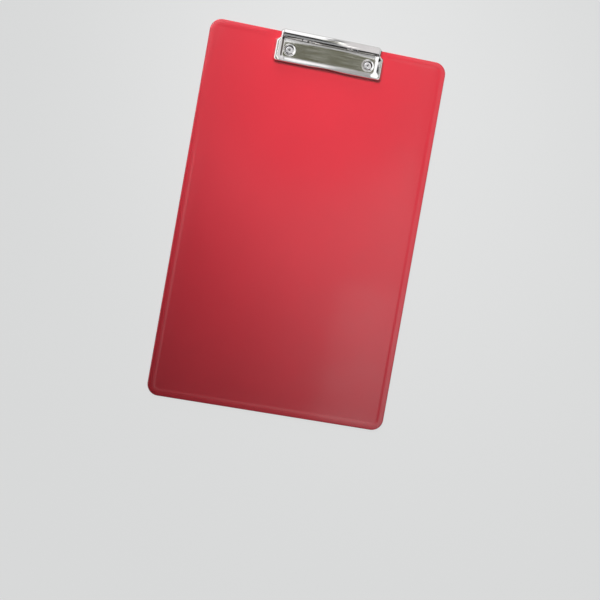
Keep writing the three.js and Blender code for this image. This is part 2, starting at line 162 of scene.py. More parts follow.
# How finely the round stretches are drawn
FULL_TURN = 360
CORNER_STEPS = 14
BOARD_SIDE_STEPS = 72
BOARD_END_STEPS = 56
BOARD_FILL_SPACING = 9
EDGE_STEPS = 6
SHOULDER_STEPS = 12
JAW_SIDE_STEPS = 10
JAW_FRONT_STEPS = 40
WALL_STEPS = 4
WALL_ROUND_STEPS = 9
WALL_ROUND_ANGLE = 86
RIM_STEPS = 8
SLOPE_STEPS = 12
REAR_STEPS = 98
PANEL_SPACING = 0.9
DISH_STEPS = 9
CURL_STEPS = 44
ROUND_STEPS = 56
HEAD_STEPS = 8
COIL_STEPS = 24
OVERRUN = 1
SAME_POINT = 0.001
FLAT_HEIGHT = 0.002
BEVEL_STEPS = 2
BEVEL_ANGLE = 50
SMOOTH_ANGLE = 40
WIRE_ROUND_STEPS = 3
WIRE_CURVE_ORDER = 3
WIRE_CURVE_STEPS = 2

# Share of the wall's draft and of its height where the wall starts to round into the rim
WALL_DRAFT_SHARE = 0.3
WALL_HEIGHT_SHARE = 0.6
# Fall per run where the rim meets the slope into the panel
RIM_EDGE_SHARE = 0.2
# Share of a pressed slope's run that it takes to bend at each end, and the share of its start
# that is left out where the rim already falls
RAMP_BEND_SHARE = 0.22
SLOPE_START_SHARE = 0.06
# Share of the radius where a head's dome is highest, and of its height where the dome starts
HEAD_CREST_SHARE = 0.7
HEAD_EDGE_SHARE = 0.2

# Worked out from the sizes above
FACE_HEIGHT = BACK_RIM_HEIGHT + PLATE_THICKNESS
BOARD_HEIGHT = FACE_HEIGHT + BEAD_HEIGHT
BOARD_MIDDLE = -(CURL_RADIUS - HINGE_SETBACK) / 2
HINGE_PLACE = BOARD_MIDDLE + BOARD_LENGTH / 2 - HINGE_SETBACK
AXIS_HEIGHT = CURL_RADIUS
JAW_REAR = CURL_RADIUS + EDGE_GAP
RIM_START = PANEL_WIDTH / 2 + PANEL_SIDE_SLOPE + SLOPE_EASE_TOP
EAR_INNER = BASE_WIDTH / 2 + EAR_GAP
EAR_OUTER = EAR_INNER + SHEET
SHANK_HOLE_RADIUS = RIVET_SHANK_RADIUS + RUNNING_GAP
DISH_HOLE_RADIUS = RIVET_HEAD_RADIUS + EDGE_GAP
PIN_BORE_RADIUS = PIN_RADIUS + PIN_BORE_GAP
CLIP_PLACE = (0, HINGE_PLACE, FACE_HEIGHT)

# Finishes. A cloud, haze, peel, wave, grain or set of lines is a noise: its scale per metre, its
# detail and, where it is drawn out, its stretch. A bump is its depth in metres and its strength.
NOISE_LOW = 0.3
NOISE_HIGH = 0.7
RED_CLOUD = (14, 3)
RED_COLOURS = ((0.69, 0.018, 0.038), (0.72, 0.021, 0.042))
RED_HAZE = (55, 4)
RED_ROUGHNESS = (0.30, 0.35)
RED_COAT = 0.5
RED_COAT_ROUGHNESS = 0.09
RED_SPECULAR = 0.8
RED_PEEL = (420, 2)
RED_PEEL_BUMP = (0.00003, 0.5)
PLATE_CLOUD = (90, 4)
PLATE_DULL_SHARE = 0.93
PLATE_LINES = (260, 5, (0.15, 3, 3))
PLATE_LINE_BUMP = (0.000001, 0.5)
PLATE_ROUGHER = 0.09
PLATE_WAVE = (60, 1)
PLATE_WAVE_BUMP = (0.00003, 0.5)
STEEL_CLOUD = (700, 4)
STEEL_DARK_SHARE = 0.78
STEEL_LINES = (900, 3)
STEEL_LINE_BUMP = (0.00001, 0.6)
STEEL_ROUGHER = 0.15
FLOOR_ROUGHNESS = 0.9
FLOOR_GRAIN = (3, 3)
FLOOR_COLOURS = ((0.70, 0.70, 0.70), (0.73, 0.73, 0.725))

# Colour and roughness of each metal, and how its lines are drawn out
CLIP_CHROME = ((0.80, 0.79, 0.77), 0.06)
RIVET_CHROME = ((0.88, 0.87, 0.88), 0.20)
PIN_STEEL = ((0.70, 0.70, 0.70), 0.16, (1, 20, 20))
SPRING_STEEL = ((0.55, 0.56, 0.58), 0.28, (20, 1, 1))
WASHER_STEEL = ((0.58, 0.59, 0.60), 0.34, (1, 1, 4))

# Camera in metres and degrees
CAMERA_PLACE = Vector((-0.2781, -0.0319, 1.5795))
CAMERA_TARGET = Vector((0.0140, -0.0682, 0.004))
CAMERA_ROLL = 10.1
CAMERA_LENS = 101.9

# Floor in metres, and how much of what the camera sees of it is its own glow
FLOOR_SIZE = 24
FLOOR_GLOW = 0.78
FLOOR_GLOW_COLOUR = (0.99, 1.0, 1.0)
FLOOR_GLOW_SHARE = 0.88

# Room that shows in the gloss. A direction is (x, y, z) of length 1, with z up, and a trend is
# one that is lengthened to make the look change faster. A span is where one look turns into the
# next along x, y, z or a direction, and falls where it is written backwards. The rail's spans are
# two along x and one along y, and the window's and the corner's are one along each.
SOFT_LIGHT = (0.05, 0.05, 0.052)
BACKGROUND = (0.72, 0.725, 0.725)
ROOM_GREY = (0.33, 0.34, 0.35)
ROOM_LOW = (0.80, 0.80, 0.81)
LOW_SPAN = (0.45, 0.10)
OVERHEAD_DARK = (0.03, 0.03, 0.03)
OVERHEAD_LIGHT = (2.4, 2.4, 2.32)
OVERHEAD_TREND = (4.6, 4.2, 0)
OVERHEAD_RISE = (0.5, 1.5)
OVERHEAD_SPAN = (0.90, 0.95)
RAIL_GREY = (0.45, 0.45, 0.46)
RAIL_SPANS = ((0.128, 0.138), (0.222, 0.212), (0.15, 0.20))
RIGHT_BANDS = (
    ((0.24, 0.30), (0.84, 0.82, 0.84)),
    ((0.52, 0.58), (0.95, 0.94, 0.97)),
    ((0.78, 0.84), (0.17, 0.15, 0.14)),
)
WINDOW = (1.35, 1.36, 1.40)
WINDOW_SPANS = ((0.182, 0.172), (0.72, 0.88))
CORNER_SPANS = ((0.135, 0.115), (0.10, 0.16))
BESIDE_SPAN = (-0.38, -0.62)
SHADED = (0.145, 0.145, 0.10)
SHADED_DIRECTION = (0.172, 0.119, 0.978)
SHADED_SPAN = (0.9962, 0.9981)

# Lamps in metres, degrees and watts
SPOT_RADIUS = 0.14
KEY_PLACE = (-0.171, 0.424, 0.649)
KEY_TARGET = (0.066, 0.104, 0)
KEY_CONE = 49
KEY_POWER = 24.5
TOP_PLACE = (-0.22, 0.72, 0.24)
TOP_TARGET = (-0.05, 0.12, 0)
TOP_CONE = 40
TOP_POWER = 9
CARD_PLACE = (0.424, -0.23, 1.2)
CARD_SIZE = (0.25, 0.35)
CARD_POWER = 0.26


# Shapes in a plane


def arc(radius, start, end, steps, centre=(0, 0)):
    """Points of an arc, from one angle in degrees to another."""
    points = []
    for i in range(steps + 1):
        angle = math.radians(start + (end - start) * i / steps)
        x = centre[0] + radius * math.cos(angle)
        y = centre[1] + radius * math.sin(angle)
        points.append((x, y))
    return points


def along(start, end, steps):
    """Points of a straight stretch, without its last one."""
    return [tuple(Vector(start).lerp(Vector(end), i / steps)) for i in range(steps)]


def ease(share):
    """A smooth climb from 0 to 1."""
    share = min(max(share, 0), 1)
    return share * share * (3 - 2 * share)


def ramp(share):
    """A straight climb from 0 to 1 with rounded ends."""
    share = min(max(share, 0), 1)
    bend = RAMP_BEND_SHARE
    if share > 1 / 2:
        return 1 - ramp(1 - share)
    if share < bend:
        return share**2 / (2 * bend * (1 - bend))
    return (share - bend / 2) / (1 - bend)


def inside(point, loop):
    """Whether a point lies in a closed loop."""
    crossings = 0
    for i, (x, y) in enumerate(loop):
        last_x, last_y = loop[i - 1]
        if (y > point[1]) != (last_y > point[1]):
            crossings += point[0] < x + (point[1] - y) * (last_x - x) / (last_y - y)
    return crossings % 2 == 1


def grid_inside(outline, holes, spacing):
    """Grid points inside an outline and outside its holes, clear of both."""
    xs = [x for x, _ in outline]
    ys = [y for _, y in outline]
    columns = math.ceil((max(xs) - min(xs)) / spacing)
    rows = math.ceil((max(ys) - min(ys)) / spacing)
    rims = [Vector(point) for loop in (outline, *holes) for point in loop]
    points = []
    for i in range(1, columns):
        for k in range(1, rows):
            x = min(xs) + (max(xs) - min(xs)) * i / columns
            y = min(ys) + (max(ys) - min(ys)) * k / rows
            if not inside((x, y), outline) or any(inside((x, y), hole) for hole in holes):
                continue
            if min((rim - Vector((x, y))).length for rim in rims) > spacing / 2:
                points.append(Vector((x, y)))
    return points


def filled(outline, holes, spacing):
    """Triangles over an outline that bulges outwards all round, with its holes left open."""
    points = []
    edges = []
    for loop in (outline, *holes):
        first = len(points)
        points += [Vector(point) for point in loop]
        edges += [(first + i, first + (i + 1) % len(loop)) for i in range(len(loop))]
    points += grid_inside(outline, holes, spacing)
    found = geometry.delaunay_2d_cdt(points, edges, [], 0, SAME_POINT / 2)
    triangles = []
    for triangle in found[2]:
        a, b, c = [found[0][i] for i in triangle]
        middle = (a + b + c) / 3
        longest = max((a - b).length, (b - c).length, (c - a).length)
        thin = 2 * geometry.area_tri(a, b, c) < FLAT_HEIGHT * longest
        if thin or any(inside(middle, hole) for hole in holes):
            continue
        triangles.append(tuple(triangle))
    return [tuple(point) for point in found[0]], triangles


# Shapes in space. A shell is a list of points and a list of faces.


def joined(*shells):
    """Several shells as one."""
    points = []
    faces = []
    for shell_points, shell_faces in shells:
        first = len(points)
        points += shell_points
        faces += [tuple(first + i for i in face) for face in shell_faces]
    return points, faces


def strip(rings, closed=False):
    """Four-sided faces through rings that have the same number of points."""
    count = len(rings[0])
    points = [point for ring in rings for point in ring]
    faces = []
    for level in range(len(rings) - 1):
        for i in range(count if closed else count - 1):
            low = level * count
            high = low + count
            following = (i + 1) % count
            faces.append((low + i, low + following, high + following, high + i))
    return points, faces


def lathe(profile, axis="z"):
    """A closed profile of (radius, place) points turned about an axis."""
    rings = []
    for i in range(ROUND_STEPS):
        angle = 2 * math.pi * i / ROUND_STEPS
        if axis == "z":
            ring = [(r * math.cos(angle), r * math.sin(angle), place) for r, place in profile]
        else:
            ring = [(place, r * math.cos(angle), r * math.sin(angle)) for r, place in profile]
        rings.append(ring)
    return strip([*rings, rings[0]], closed=True)


def prism(outline, holes, low, high, spacing):
    """A plate between two heights over an outline, with holes through it."""
    flat, triangles = filled(outline, holes, spacing)
    shells = []
    for height in (low, high):
        shells.append(([(x, y, height) for x, y in flat], triangles))
    for loop in (outline, *holes):
        rings = [[(x, y, height) for x, y in loop] for height in (low, high)]
        shells.append(strip(rings, closed=True))
    return joined(*shells)


def crosswise(shell):
    """A shell drawn in y and z, with its third value across the clip."""
    points, faces = shell
    return [(x, y, z) for y, z, x in points], faces


def moved(shell, place):
    """A shell carried to another place."""
    points, faces = shell
    return [tuple(Vector(point) + Vector(place)) for point in points], faces


def mirrored(shell, side):
    """A shell on the right side, or its mirror image on the left."""
    points, faces = shell
    return [(side * x, y, z) for x, y, z in points], faces


# Pieces


def weld(mesh):
    """Joins doubled points and turns the faces outwards."""
    body = bmesh.new()
    body.from_mesh(mesh)
    bmesh.ops.remove_doubles(body, verts=body.verts, dist=SAME_POINT * MM)
    bmesh.ops.dissolve_degenerate(body, edges=body.edges, dist=SAME_POINT * MM)
    loose = [edge for edge in body.edges if not edge.link_faces]
    bmesh.ops.delete(body, geom=loose, context="EDGES")
    bmesh.ops.recalc_face_normals(body, faces=body.faces)
    body.to_mesh(mesh)
    body.free()


def show(name, mesh):
    """An object of a welded mesh."""
    weld(mesh)
    piece = bpy.data.objects.new(name, mesh)
    bpy.context.collection.objects.link(piece)
    return piece


def make_piece(name, shell, place=(0, 0, 0)):
    """A mesh object from a shell in millimetres."""
    points, faces = moved(shell, place)
    mesh = bpy.data.meshes.new(name)
    mesh.from_pydata([Vector(point) * MM for point in points], [], faces)
    return show(name, mesh)


def settle(piece):
    """Makes what the modifiers do part of the mesh."""
    graph = bpy.context.evaluated_depsgraph_get()
    mesh = bpy.data.meshes.new_from_object(piece.evaluated_get(graph))
    piece.modifiers.clear()
    piece.data = mesh


def combine(piece, other, operation):
    """Joins another shape to a piece, or cuts it away."""
    modifier = piece.modifiers.new("combine", "BOOLEAN")
    modifier.operation = operation
    modifier.object = other
    modifier.solver = "EXACT"
    settle(piece)
    bpy.data.objects.remove(other)


def round_edges(piece, width):
    """Rounds the sharp edges of a piece."""
    modifier = piece.modifiers.new("round", "BEVEL")
    modifier.width = width * MM
    modifier.segments = BEVEL_STEPS
    modifier.limit_method = "ANGLE"
    modifier.angle_limit = math.radians(BEVEL_ANGLE)
    modifier.use_clamp_overlap = True
    settle(piece)


def smooth(piece):
    """Smooth shading that stops at sharp edges."""
    piece.data.polygons.foreach_set("use_smooth", [True] * len(piece.data.polygons))
    piece.data.set_sharp_from_angle(angle=math.radians(SMOOTH_ANGLE))


def dress(piece, node, body, material):
    """Puts a piece in the place of its solid, on its body and in its finish."""
    smooth(piece)
    piece.data.materials.clear()
    piece.data.materials.append(material)
    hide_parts(node)
    if body:
        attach(piece, body)


# Board


def board_outline(inset):
    """The board's outline, drawn in by an inset."""
    corner = BOARD_CORNER - inset
    x = BOARD_WIDTH / 2 - BOARD_CORNER
    y = BOARD_LENGTH / 2 - BOARD_CORNER
    outline = along((x + corner, -y), (x + corner, y), BOARD_SIDE_STEPS)
    outline += arc(corner, 0, 90, CORNER_STEPS, (x, y))[:-1]
    outline += along((x, y + corner), (-x, y + corner), BOARD_END_STEPS)
    outline += arc(corner, 90, 180, CORNER_STEPS, (-x, y))[:-1]
    outline += along((-x - corner, y), (-x - corner, -y), BOARD_SIDE_STEPS)
    outline += arc(corner, 180, 270, CORNER_STEPS, (-x, -y))[:-1]
    outline += along((-x, -y - corner), (x, -y - corner), BOARD_END_STEPS)
    outline += arc(corner, 270, 360, CORNER_STEPS, (x, -y))[:-1]
    return outline


def board_section():
    """Inset and height of each ring, from the back's recess round the edge to the writing face."""
    edge = BOARD_EDGE_ROUND
    fillet = BACK_FILLET
    wall = BACK_RIM_WIDTH
    section = arc(fillet, 90, 180, EDGE_STEPS, (wall + fillet, BACK_RIM_HEIGHT - fillet))
    section += arc(fillet, 0, -90, EDGE_STEPS, (wall - fillet, fillet))
    section += arc(edge, 270, 180, EDGE_STEPS, (edge, edge))
    section += arc(edge, 180, 90, EDGE_STEPS, (edge, BOARD_HEIGHT - edge))
    for i in range(EDGE_STEPS + 1):
        inset = BEAD_WIDTH + BEAD_SLOPE * (i / EDGE_STEPS - 1 / 2)
        section.append((inset, BOARD_HEIGHT - BEAD_HEIGHT * ease(i / EDGE_STEPS)))
    return section


def board_point(x, y, height):
    """The bead sinks into the face where the clip sits."""
    at_top = y > BOARD_LENGTH / 2 - BEAD_WIDTH - BEAD_SLOPE
    if at_top and height > FACE_HEIGHT:
        seat = JAW_WIDTH / 2 + CLIP_SEAT_MARGIN
        height = FACE_HEIGHT + (height - FACE_HEIGHT) * ease((abs(x) - seat) / BEAD_FADE)
    return x, y, height


def make_board():
    section = board_section()
    rings = []
    for inset, height in section:
        rings.append([board_point(x, y, height) for x, y in board_outline(inset)])
    reach = BOARD_LENGTH / 2 - HINGE_SETBACK - RIVET_REACH
    holes = []
    for side in SIDES.values():
        centre = (side * RIVET_SPACING / 2, reach)
        holes.append(arc(SHANK_HOLE_RADIUS, 0, FULL_TURN, ROUND_STEPS, centre)[:-1])
    shells = [strip(rings, closed=True)]
    for inset, height in (section[0], section[-1]):
        flat, triangles = filled(board_outline(inset), holes, BOARD_FILL_SPACING)
        shells.append(([(x, y, height) for x, y in flat], triangles))
    for hole in holes:
        levels = (BACK_RIM_HEIGHT, FACE_HEIGHT)
        walls = [[(x, y, height) for x, y in hole] for height in levels]
        shells.append(strip(walls, closed=True))
    return make_piece("board_shell", joined(*shells), (0, BOARD_MIDDLE, 0))


# Base plate


def curl_point(y, z, offset):
    """A point of the curl in a direction from the axis. The curl is a little squared."""
    reach = (abs(y) ** CURL_SQUARENESS + abs(z) ** CURL_SQUARENESS) ** (1 / CURL_SQUARENESS)
    radius = CURL_RADIUS / reach - offset
    return y * radius, AXIS_HEIGHT + z * radius


def sheet_section():
    """Outer and inner line of the bent sheet, in y and z, from its front edge to the curl's lip."""
    lip = 180 - CURL_LIP_ANGLE
    flat = [y for y, _ in arc(BASE_CORNER, 180, 90, CORNER_STEPS, (BASE_CORNER - BASE_REACH, 0))]
    lines = []
    for offset in (0, SHEET):
        line = [(y, offset) for y in flat]
        line += [curl_point(*point, offset) for point in arc(1, -90, lip, CURL_STEPS)]
        lines.append(line)
    return lines


def sheet_half_width(y):
    """Half the sheet's width, which narrows round its front corners."""
    beyond = max(BASE_CORNER - BASE_REACH - y, 0)
    return BASE_WIDTH / 2 - BASE_CORNER + math.sqrt(max(BASE_CORNER**2 - beyond**2, 0))


def base_sheet():
    outer, inner = sheet_section()
    rings = []
    for (outer_y, outer_z), (inner_y, inner_z) in zip(outer, inner):
        half = sheet_half_width(outer_y)
        ring = [(-half, outer_y, outer_z), (half, outer_y, outer_z)]
        ring += [(half, inner_y, inner_z), (-half, inner_y, inner_z)]
        rings.append(ring)
    points, faces = strip(rings, closed=True)
    last = len(points) - 4
    faces.append((0, 1, 2, 3))
    faces.append((last + 3, last + 2, last + 1, last))
    return points, faces


def bearing():
    inner = BASE_WIDTH / 2 - SHEET
    disc = arc(CURL_RADIUS - SHEET / 2, 0, FULL_TURN, ROUND_STEPS, (0, AXIS_HEIGHT))[:-1]
    bore = arc(PIN_BORE_RADIUS, 0, FULL_TURN, ROUND_STEPS, (0, AXIS_HEIGHT))[:-1]
    return crosswise(prism(disc, [bore], inner, BASE_WIDTH / 2, SHEET))


def paper_stop():
    half = STOP_WIDTH / 2
    outline = [(-half, 0), (half, 0), (half, SHEET), (-half, SHEET)]
    stop = prism(outline, [], SHEET / 2, SHEET + STOP_HEIGHT, STOP_WIDTH)
    return moved(stop, (STOP_SPACING / 2, -STOP_REACH - SHEET, 0))


def make_base_plate():
    piece = make_piece("base_plate_shell", base_sheet(), CLIP_PLACE)
    for side in SIDES.values():
        for shell in (bearing(), paper_stop()):
            combine(piece, make_piece("part", mirrored(shell, side), CLIP_PLACE), "UNION")
        hole = lathe([(0, -OVERRUN), (SHANK_HOLE_RADIUS, -OVERRUN),
                      (SHANK_HOLE_RADIUS, SHEET + OVERRUN), (0, SHEET + OVERRUN)])
        hole = moved(hole, (side * RIVET_SPACING / 2, -RIVET_REACH, 0))
        combine(piece, make_piece("hole", hole, CLIP_PLACE), "DIFFERENCE")
    round_edges(piece, SHEET_EDGE_ROUND)
    return piece


# Jaw


def whole_path(half):
    """A path from the right rear to the middle of the front, carried on to the left rear."""
    return half + [(-x, y) for x, y in reversed(half[:-1])]


def pan_path(draft, wall):
    """The pan's outline in plan at a share of its draft, from its right rear to its left rear."""
    half = JAW_WIDTH / 2 - draft * SIDE_DRAFT - wall
    front_edge = draft * FRONT_DRAFT + wall - JAW_REACH
    corner = JAW_CORNER - draft * FRONT_DRAFT - wall
    relief = (1 - draft) * RELIEF_DEPTH
    start = RIM_START + max(SHOULDER_FOOT * (1 - draft), wall)
    shoulder = -SHOULDER_REAR - draft * REAR_DRAFT - wall
    flank = shoulder - SHOULDER_RUN
    path = []
    for i in range(SHOULDER_STEPS):
        share = i / SHOULDER_STEPS
        path.append((start + (half - start) * ease(share), shoulder - SHOULDER_RUN * share))
    path += along((half, flank), (half, front_edge + corner), JAW_SIDE_STEPS)
    path += arc(corner, 0, -90, CORNER_STEPS, (half - corner, front_edge + corner))[:-1]
    for i in range(JAW_FRONT_STEPS + 1):
        x = (half - corner) * (1 - i / JAW_FRONT_STEPS)
        path.append((x, front_edge + relief * ease(1 - 2 * x / RELIEF_WIDTH)))
    return whole_path(path)


def rail_path(side, front, rear):
    """The sunk panel's outline in plan, grown by a width at its sides and at its front."""
    half = PANEL_WIDTH / 2 + side
    reach = PANEL_REACH + front
    corner = PANEL_CORNER + min(side, front)
    flank = -JAW_REAR - REAR_DRAFT - SHOULDER_RUN
    path = along((half, -JAW_REAR - rear), (half, flank), SHOULDER_STEPS)
    path += along((half, flank), (half, corner - reach), JAW_SIDE_STEPS)
    path += arc(corner, 0, -90, CORNER_STEPS, (half - corner, corner - reach))[:-1]
    path += along((half - corner, -reach), (0, -reach), JAW_FRONT_STEPS)
    return whole_path([*path, (0, -reach)])


def panel_height(x, y):
    """The panel is flat, and bends down to its rear edge from further forward at its ends."""
    end_share = min(2 * abs(x) / PANEL_WIDTH, 1)
    run = BEND_RUN_MIDDLE + (BEND_RUN_END - BEND_RUN_MIDDLE) * end_share**2
    bend_share = min(max(1 + (y + JAW_REAR) / run, 0), 1)
    return PANEL_HEIGHT - (PANEL_HEIGHT - PANEL_EDGE_HEIGHT) * bend_share**2


def wall_levels():
    """Shares of the draft and of the height up the wall and round onto the crowned rim."""
    levels = along((0, 0), (WALL_DRAFT_SHARE, WALL_HEIGHT_SHARE), WALL_STEPS)
    round_points = arc(1, 180, 180 - WALL_ROUND_ANGLE, WALL_ROUND_STEPS)
    last_x, last_y = round_points[-1]
    for x, y in round_points:
        draft = WALL_DRAFT_SHARE + (1 - WALL_DRAFT_SHARE) * (1 + x) / (1 + last_x)
        levels.append((draft, WALL_HEIGHT_SHARE + (1 - WALL_HEIGHT_SHARE) * y / last_y))
    return levels


def slope_path(share, wall):
    """The outline in plan at a share of the slope's run, from the rim to the panel."""
    side = (1 - share) * (PANEL_SIDE_SLOPE + SLOPE_EASE_TOP) - share * SIDE_EASE_FOOT + wall
    front = (1 - share) * (PANEL_FRONT_SLOPE + SLOPE_EASE_TOP) - share * FRONT_EASE_FOOT + wall
    return rail_path(side, front, (1 - share) * (REAR_DRAFT + wall))


def wall_rings(wall):
    """From the foot up the wall to the rim's outer edge."""
    rings = []
    for draft, climb in wall_levels():
        height = JAW_FOOT_GAP + climb * (JAW_HEIGHT - wall - JAW_FOOT_GAP)
        rings.append([(x, y, height) for x, y in pan_path(draft, wall)])
    return rings


def rim_rings(wall, drops):
    """Across the rim, which is flat at its outer edge and falls towards the panel."""
    rings = []
    for i in range(1, RIM_STEPS):
        share = i / RIM_STEPS
        ring = []
        for outer, inner, drop in zip(pan_path(1, wall), slope_path(0, wall), drops):
            x, y = Vector(outer).lerp(Vector(inner), share)
            ring.append((x, y, JAW_HEIGHT - drop * share**2 - wall))
        rings.append(ring)
    return rings


def slope_rings(wall, drops):
    """From the rim's inner edge down into the sunk panel."""
    rings = []
    start = SLOPE_START_SHARE
    for i in range(SLOPE_STEPS + 1):
        share = i / SLOPE_STEPS
        fall = (ramp(start + (1 - start) * share) - ramp(start)) / (1 - ramp(start))
        ring = []
        for (x, y), drop in zip(slope_path(share, wall), drops):
            foot = panel_height(x, y)
            ring.append((x, y, foot + (JAW_HEIGHT - drop - foot) * (1 - fall) - wall))
        rings.append(ring)
    return rings


def rear_edge(half):
    """Points along the panel's rear edge, from the left to the right, without its ends."""
    return along((-half, -JAW_REAR), (half, -JAW_REAR), REAR_STEPS)[1:]


def dish_rings(wall):
    """From a flat collar on the panel down to the hole round a rivet's head."""
    collar = arc(DISH_RADIUS + DISH_COLLAR + wall, 0, FULL_TURN, ROUND_STEPS)[:-1]
    rings = [[(x, y, PANEL_HEIGHT - wall) for x, y in collar]]
    for i in range(DISH_STEPS + 1):
        share = i / DISH_STEPS
        radius = DISH_RADIUS + wall - DISH_DRAFT * share
        height = PANEL_HEIGHT - wall - DISH_DEPTH * ramp(share)
        rings.append([(x, y, height) for x, y in arc(radius, 0, FULL_TURN, ROUND_STEPS)[:-1]])
    floor = PANEL_HEIGHT - wall - DISH_DEPTH
    rim = arc(DISH_HOLE_RADIUS, 0, FULL_TURN, ROUND_STEPS)[:-1]
    rings.append([(x, y, floor) for x, y in rim])
    return rings


def jaw_skin(wall):
    """One side of the sheet: its shells, and its edges as lists of points in order."""
    rim_widths = [math.dist(*pair) for pair in zip(pan_path(1, 0), slope_path(0, 0))]
    drops = [RIM_EDGE_SHARE * width / 2 for width in rim_widths]
    rings = wall_rings(wall) + rim_rings(wall, drops) + slope_rings(wall, drops)
    dishes = []
    for side in SIDES.values():
        place = Vector((side * RIVET_SPACING / 2, -RIVET_REACH, 0))
        dishes.append([[tuple(Vector(p) + place) for p in ring] for ring in dish_rings(wall)])
    boundary = [(x, y) for x, y, _ in rings[-1]]
    rear = rear_edge(abs(boundary[0][0]))
    holes = [[(x, y) for x, y, _ in dish[0]] for dish in dishes]
    flat, triangles = filled(boundary + rear, holes, PANEL_SPACING)
    panel = [(x, y, panel_height(x, y) - wall) for x, y in flat]
    rear_points = [(x, y, panel_height(x, y) - wall) for x, y in rear]
    edge = rings[0] + [ring[-1] for ring in rings[1:]]
    edge += rear_points + [ring[0] for ring in reversed(rings[1:])]
    shells = [strip(rings), (panel, triangles)] + [strip(dish, closed=True) for dish in dishes]
    return shells, [edge] + [dish[-1] for dish in dishes]


def ear_outline(inset):
    """A round lug at the pin, with a neck that runs forward into the shoulder."""
    neck = -(JAW_REAR + SHEET)
    outline = arc(EAR_RADIUS - inset, 0, FULL_TURN, ROUND_STEPS, (0, AXIS_HEIGHT))[:-1]
    return outline + [(neck, PANEL_HEIGHT + SHEET - inset), (neck, SHEET + inset)]


def make_ear(side):
    """An ear whose outer face is drawn in all round, with a recess for the pin's head."""
    levels = ((EAR_INNER, 0), (EAR_INNER + EAR_RIM, 0), (EAR_INNER + EAR_DEPTH, EAR_DRAFT))
    body = bmesh.new()
    for x, inset in levels:
        for y, z in ear_outline(inset):
            body.verts.new((Vector((side * x, y, z)) + Vector(CLIP_PLACE)) * MM)
    hull = bmesh.ops.convex_hull(body, input=body.verts)
    bmesh.ops.delete(body, geom=hull["geom_interior"], context="VERTS")
    mesh = bpy.data.meshes.new("ear")
    body.to_mesh(mesh)
    body.free()
    piece = show("ear", mesh)
    start = EAR_INNER - OVERRUN
    end = EAR_INNER + EAR_DEPTH + OVERRUN
    recess = PIN_HEAD_RADIUS + PIN_HEAD_GAP
    profile = [(0, start), (PIN_BORE_RADIUS, start), (PIN_BORE_RADIUS, EAR_OUTER)]
    profile += [(recess, EAR_OUTER), (recess, end), (0, end)]
    bore = moved(mirrored(lathe(profile, "x"), side), (0, 0, AXIS_HEIGHT))
    combine(piece, make_piece("bore", bore, CLIP_PLACE), "DIFFERENCE")
    return piece


def tongue():
    """The tab in the curl's mouth that a spring's moving leg presses down."""
    rear = -(COIL_RADIUS + WIRE_RADIUS + TONGUE_GAP)
    front = -(JAW_REAR + SHEET)
    half = TONGUE_WIDTH / 2
    outline = [(-half, front), (half, front), (half, rear), (-half, rear)]
    tab = prism(outline, [], PANEL_EDGE_HEIGHT - SHEET, PANEL_EDGE_HEIGHT, TONGUE_WIDTH)
    return moved(tab, (COIL_START, 0, 0))


def make_jaw():
    outer_shells, outer_edges = jaw_skin(0)
    inner_shells, inner_edges = jaw_skin(SHEET)
    edges = [strip([outer, inner], closed=True) for outer, inner in zip(outer_edges, inner_edges)]
    piece = make_piece("jaw_shell", joined(*outer_shells, *inner_shells, *edges), CLIP_PLACE)
    for side in SIDES.values():
        combine(piece, make_ear(side), "UNION")
        combine(piece, make_piece("tongue", mirrored(tongue(), side), CLIP_PLACE), "UNION")
    weld(piece.data)
    return piece


# Hinge pin, rivets and washers


def dome(radius, low, high):
    """A head's rounded outside from its seat to its crest, as (radius, place) points."""
    crest = radius * HEAD_CREST_SHARE
    edge = low + (high - low) * HEAD_EDGE_SHARE
    points = []
    for x, y in arc(1, 0, 90, HEAD_STEPS):
        points.append((crest + (radius - crest) * x, edge + (high - edge) * y))
    return points


def make_pin():
    shoulder = EAR_OUTER + PIN_HEAD_GAP
    end = shoulder + PIN_HEAD_LENGTH
    half = [(PIN_RADIUS, shoulder), (PIN_HEAD_RADIUS, shoulder)]
    half += dome(PIN_HEAD_RADIUS, shoulder, end)
    half.append((0, end))
    profile = [(radius, -place) for radius, place in reversed(half)] + half
    shell = moved(lathe(profile, "x"), (0, 0, AXIS_HEIGHT))
    return make_piece("hinge_pin_shell", shell, CLIP_PLACE)


def rivet_profile():
    seat = FACE_HEIGHT + SHEET
    top = seat + RIVET_HEAD_HEIGHT
    clinch_top = BACK_RIM_HEIGHT - WASHER_THICKNESS
    clinch_foot = clinch_top - CLINCH_HEIGHT
    middle = (clinch_top + clinch_foot) / 2
    lip = RIVET_LIP_ROUND
    web = BACK_RIM_HEIGHT
    profile = [(0, web), (RIVET_HOLE_RADIUS, web)]
    profile += arc(lip, 180, 270, HEAD_STEPS, (RIVET_HOLE_RADIUS + lip, clinch_foot + lip))
    half = CLINCH_HEIGHT / 2
    profile += arc(half, -90, 90, HEAD_STEPS, (CLINCH_RADIUS - half, middle))
    profile += [(RIVET_SHANK_RADIUS, clinch_top), (RIVET_SHANK_RADIUS, seat)]
    profile.append((RIVET_HEAD_RADIUS, seat))
    profile += dome(RIVET_HEAD_RADIUS, seat, top)
    profile += arc(lip, 90, 180, HEAD_STEPS, (RIVET_HOLE_RADIUS + lip, top - lip))
    return [*profile, (RIVET_HOLE_RADIUS, web + RIVET_WEB), (0, web + RIVET_WEB)]


def washer_profile():
    edge = WASHER_EDGE_ROUND
    low = BACK_RIM_HEIGHT - WASHER_THICKNESS + edge
    high = BACK_RIM_HEIGHT - edge
    inner = SHANK_HOLE_RADIUS + edge
    outer = WASHER_RADIUS - edge
    corners = [(outer, low, 270), (outer, high, 0), (inner, high, 90), (inner, low, 180)]
    profile = []
    for radius, height, angle in corners:
        profile += arc(edge, angle, angle + 90, EDGE_STEPS // 2, (radius, height))
    return profile


